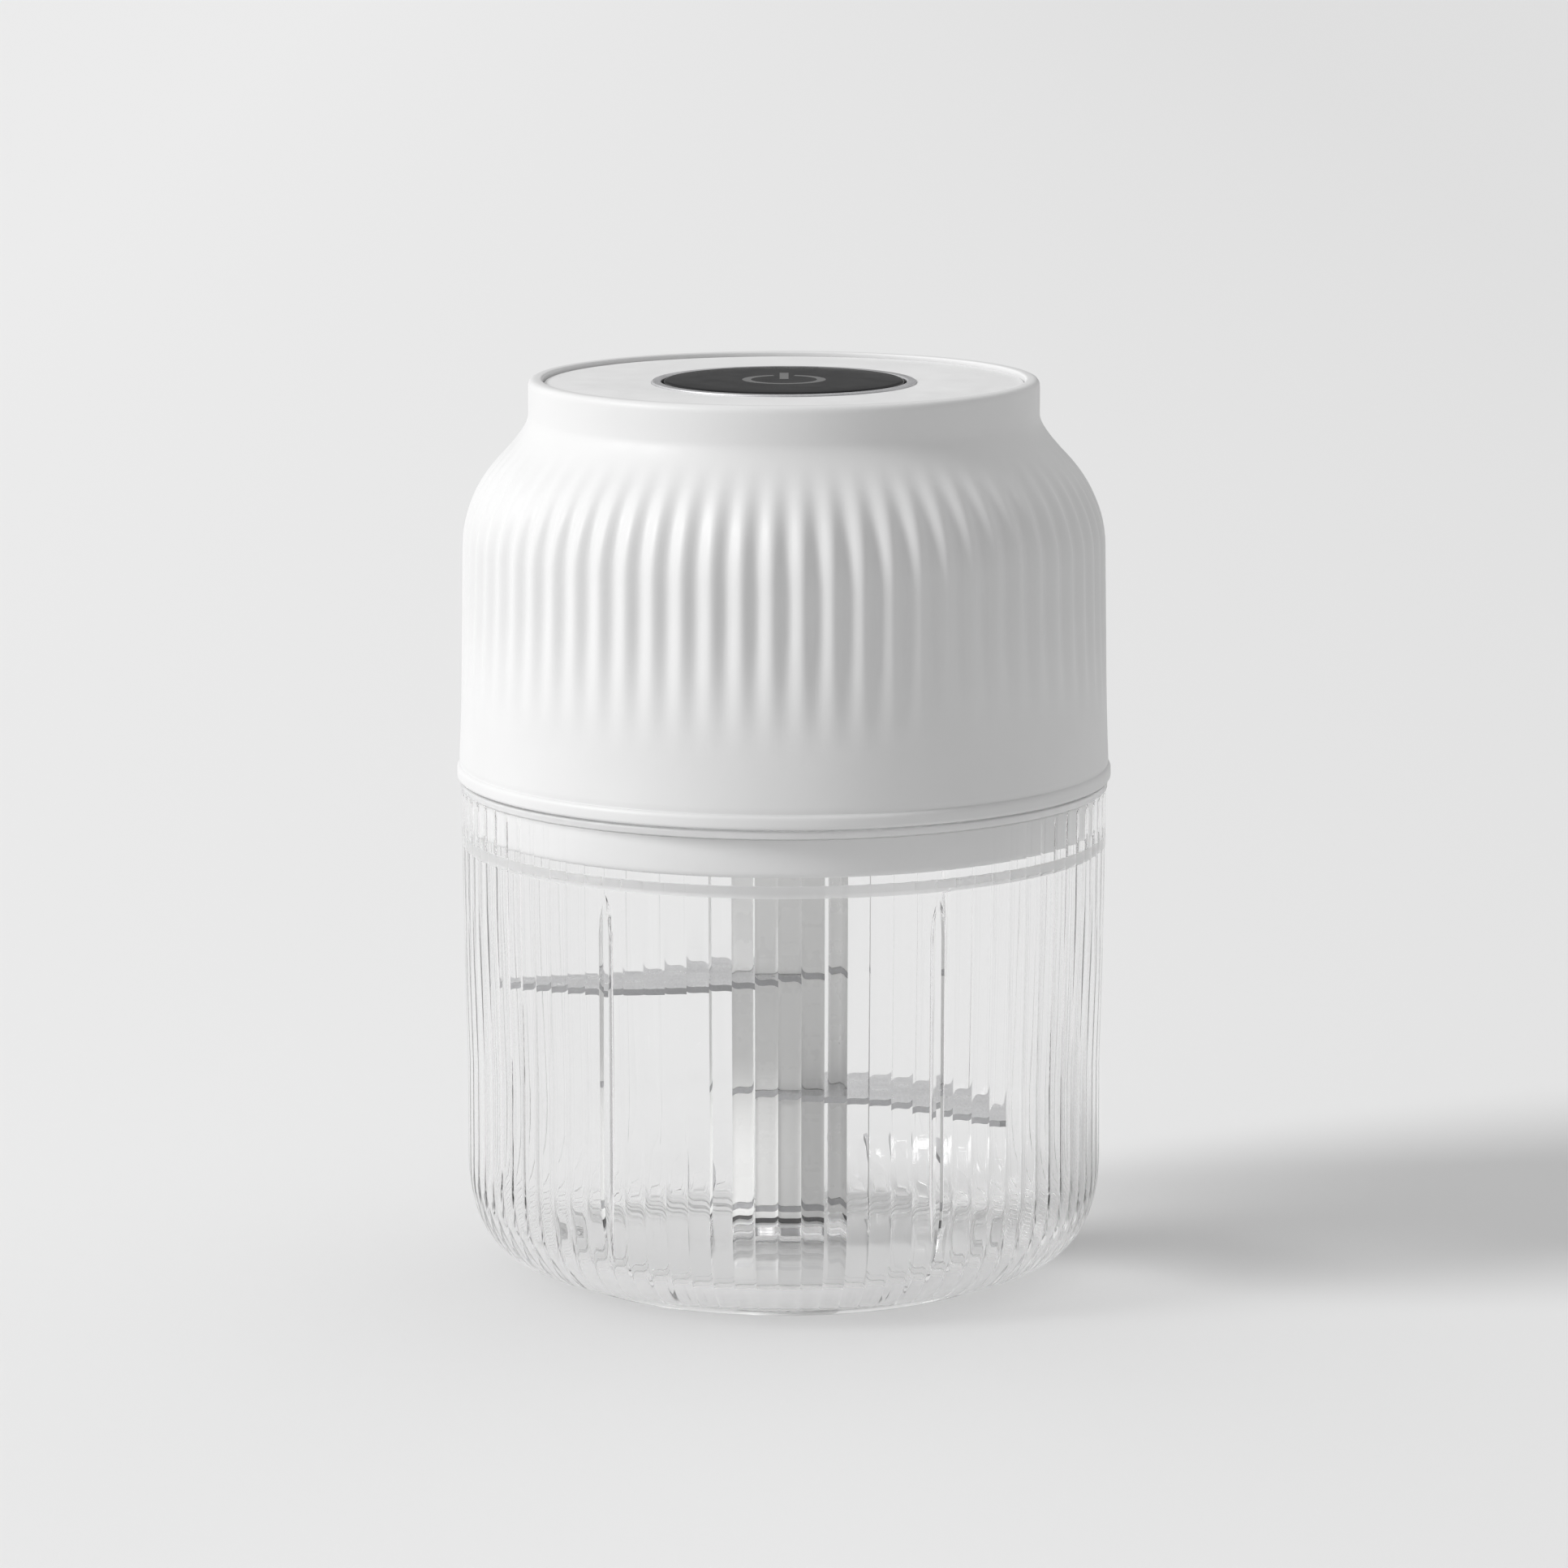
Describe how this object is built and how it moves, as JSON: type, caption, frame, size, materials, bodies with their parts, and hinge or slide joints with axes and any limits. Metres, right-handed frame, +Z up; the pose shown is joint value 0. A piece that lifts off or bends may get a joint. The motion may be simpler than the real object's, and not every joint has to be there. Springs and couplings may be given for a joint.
{
  "type": "cordless mini food processor",
  "caption": "Small cordless food chopper: clear fluted cup, stacked flat blades on a white shaft, and a fluted white motor lid with a round push button.",
  "frame": {"origin": "on the vertical axis, at the plane that the foot ring stands on", "axes": "+Z up through the blade shaft to the button, +Y to the back where the charging port is, +X to the right seen from the front"},
  "size_m": [0.084, 0.084, 0.1158],
  "materials": {
    "clear_plastic": "clear, glossy, fluted outside",
    "white_plastic": "satin white, moulded",
    "cover_plastic": "satin white, moulded",
    "inner_plastic": "moulded, unpolished",
    "panel_plastic": "fine matt",
    "ring_metal": "satin, bright edges",
    "button_plastic": "high gloss black",
    "icon_ink": "grey inlay",
    "blade_steel": "stamped and ground stainless steel",
    "shaft_plastic": "white, moulded",
    "pin_steel": "ground",
    "soft_seal": "soft silicone",
    "dark_rubber": "matt",
    "flap_rubber": "soft white silicone",
    "motor_steel": "zinc plated",
    "laminate": "stacked laminations",
    "copper": "enamelled copper",
    "magnet": "sintered ferrite",
    "bush_bronze": "sintered bronze",
    "carbon": "pressed carbon",
    "bush_plastic": "acetal",
    "screw_steel": "zinc plated",
    "cell_wrap": "shrink wrap",
    "board": "solder mask",
    "contact_metal": "plated",
    "switch_plastic": "moulded",
    "lead_cover": "soft insulation",
    "port_metal": "nickel plated",
    "light_plastic": "milky light guide"
  },
  "bodies": {
    "cup": {"cup": "clear_plastic", "bowl_pin": "pin_steel"},
    "lid": {"housing": "white_plastic", "base_cover": "cover_plastic", "seal_ring": "soft_seal", "shaft_seal": "dark_rubber", "top_panel": "panel_plastic", "button_bezel": "ring_metal", "cover_screws": "screw_steel", "motor_can": "motor_steel", "motor_end_cap": "inner_plastic", "motor_bushes": "bush_bronze", "motor_magnets": "magnet", "motor_brushes": "carbon", "motor_damper": "dark_rubber", "motor_screws": "screw_steel", "battery_cell": "cell_wrap", "battery_terminals": "contact_metal", "battery_cradle": "inner_plastic", "control_board": "board", "board_screws": "screw_steel", "tact_switch": "switch_plastic", "motor_leads": "lead_cover", "charge_leads": "lead_cover", "charge_board": "board", "usb_socket": "port_metal", "charge_light": "light_plastic"},
    "button": {"power_button": "button_plastic", "power_icon": "icon_ink", "button_stem": "bush_plastic", "button_spring": "screw_steel"},
    "port_cover": {"port_cover": "flap_rubber"},
    "blade_foot": {"foot_washer": "dark_rubber"},
    "blades": {"end_collar": "shaft_plastic", "lower_blade": "blade_steel", "lower_sleeve": "shaft_plastic", "middle_blade": "blade_steel", "middle_sleeve": "shaft_plastic", "upper_blade": "blade_steel", "drive_sleeve": "shaft_plastic", "blade_core": "inner_plastic", "pivot_bush": "bush_plastic"},
    "drive": {"drive_coupler": "inner_plastic", "motor_shaft": "pin_steel", "armature_core": "laminate", "windings": "copper", "commutator": "copper"}
  },
  "joints": [
    {"name": "lid_lift", "type": "slide", "parent": "cup", "child": "lid", "axis": [0, 0, 1], "range_m": [0, 0.13]},
    {"name": "button_press", "type": "slide", "parent": "lid", "child": "button", "axis": [0, 0, -1], "range_m": [0, 0.0006], "stiffness_N_per_m": 800, "springref_m": -0.0005, "deforming": ["button_spring"]},
    {"name": "port_cover_swing", "type": "hinge", "parent": "lid", "child": "port_cover", "pos_m": [-0.0065, 0.04099, 0.0704], "axis": [0, 0, 1], "range_deg": [0, 110]},
    {"name": "drive_spin", "type": "hinge", "parent": "lid", "child": "drive", "pos_m": [0, 0, 0.07], "axis": [0, 0, 1], "continuous": true},
    {"name": "blade_lift", "type": "slide", "parent": "cup", "child": "blade_foot", "axis": [0, 0, 1], "range_m": [0, 0.065]},
    {"name": "blade_spin", "type": "hinge", "parent": "blade_foot", "child": "blades", "pos_m": [0, 0, 0.03], "axis": [0, 0, 1], "continuous": true}
  ],
  "couplings": [
    {"joint": "blade_lift", "follows": "lid_lift", "ratio": 0.5},
    {"joint": "blade_spin", "follows": "drive_spin", "ratio": 1}
  ]
}
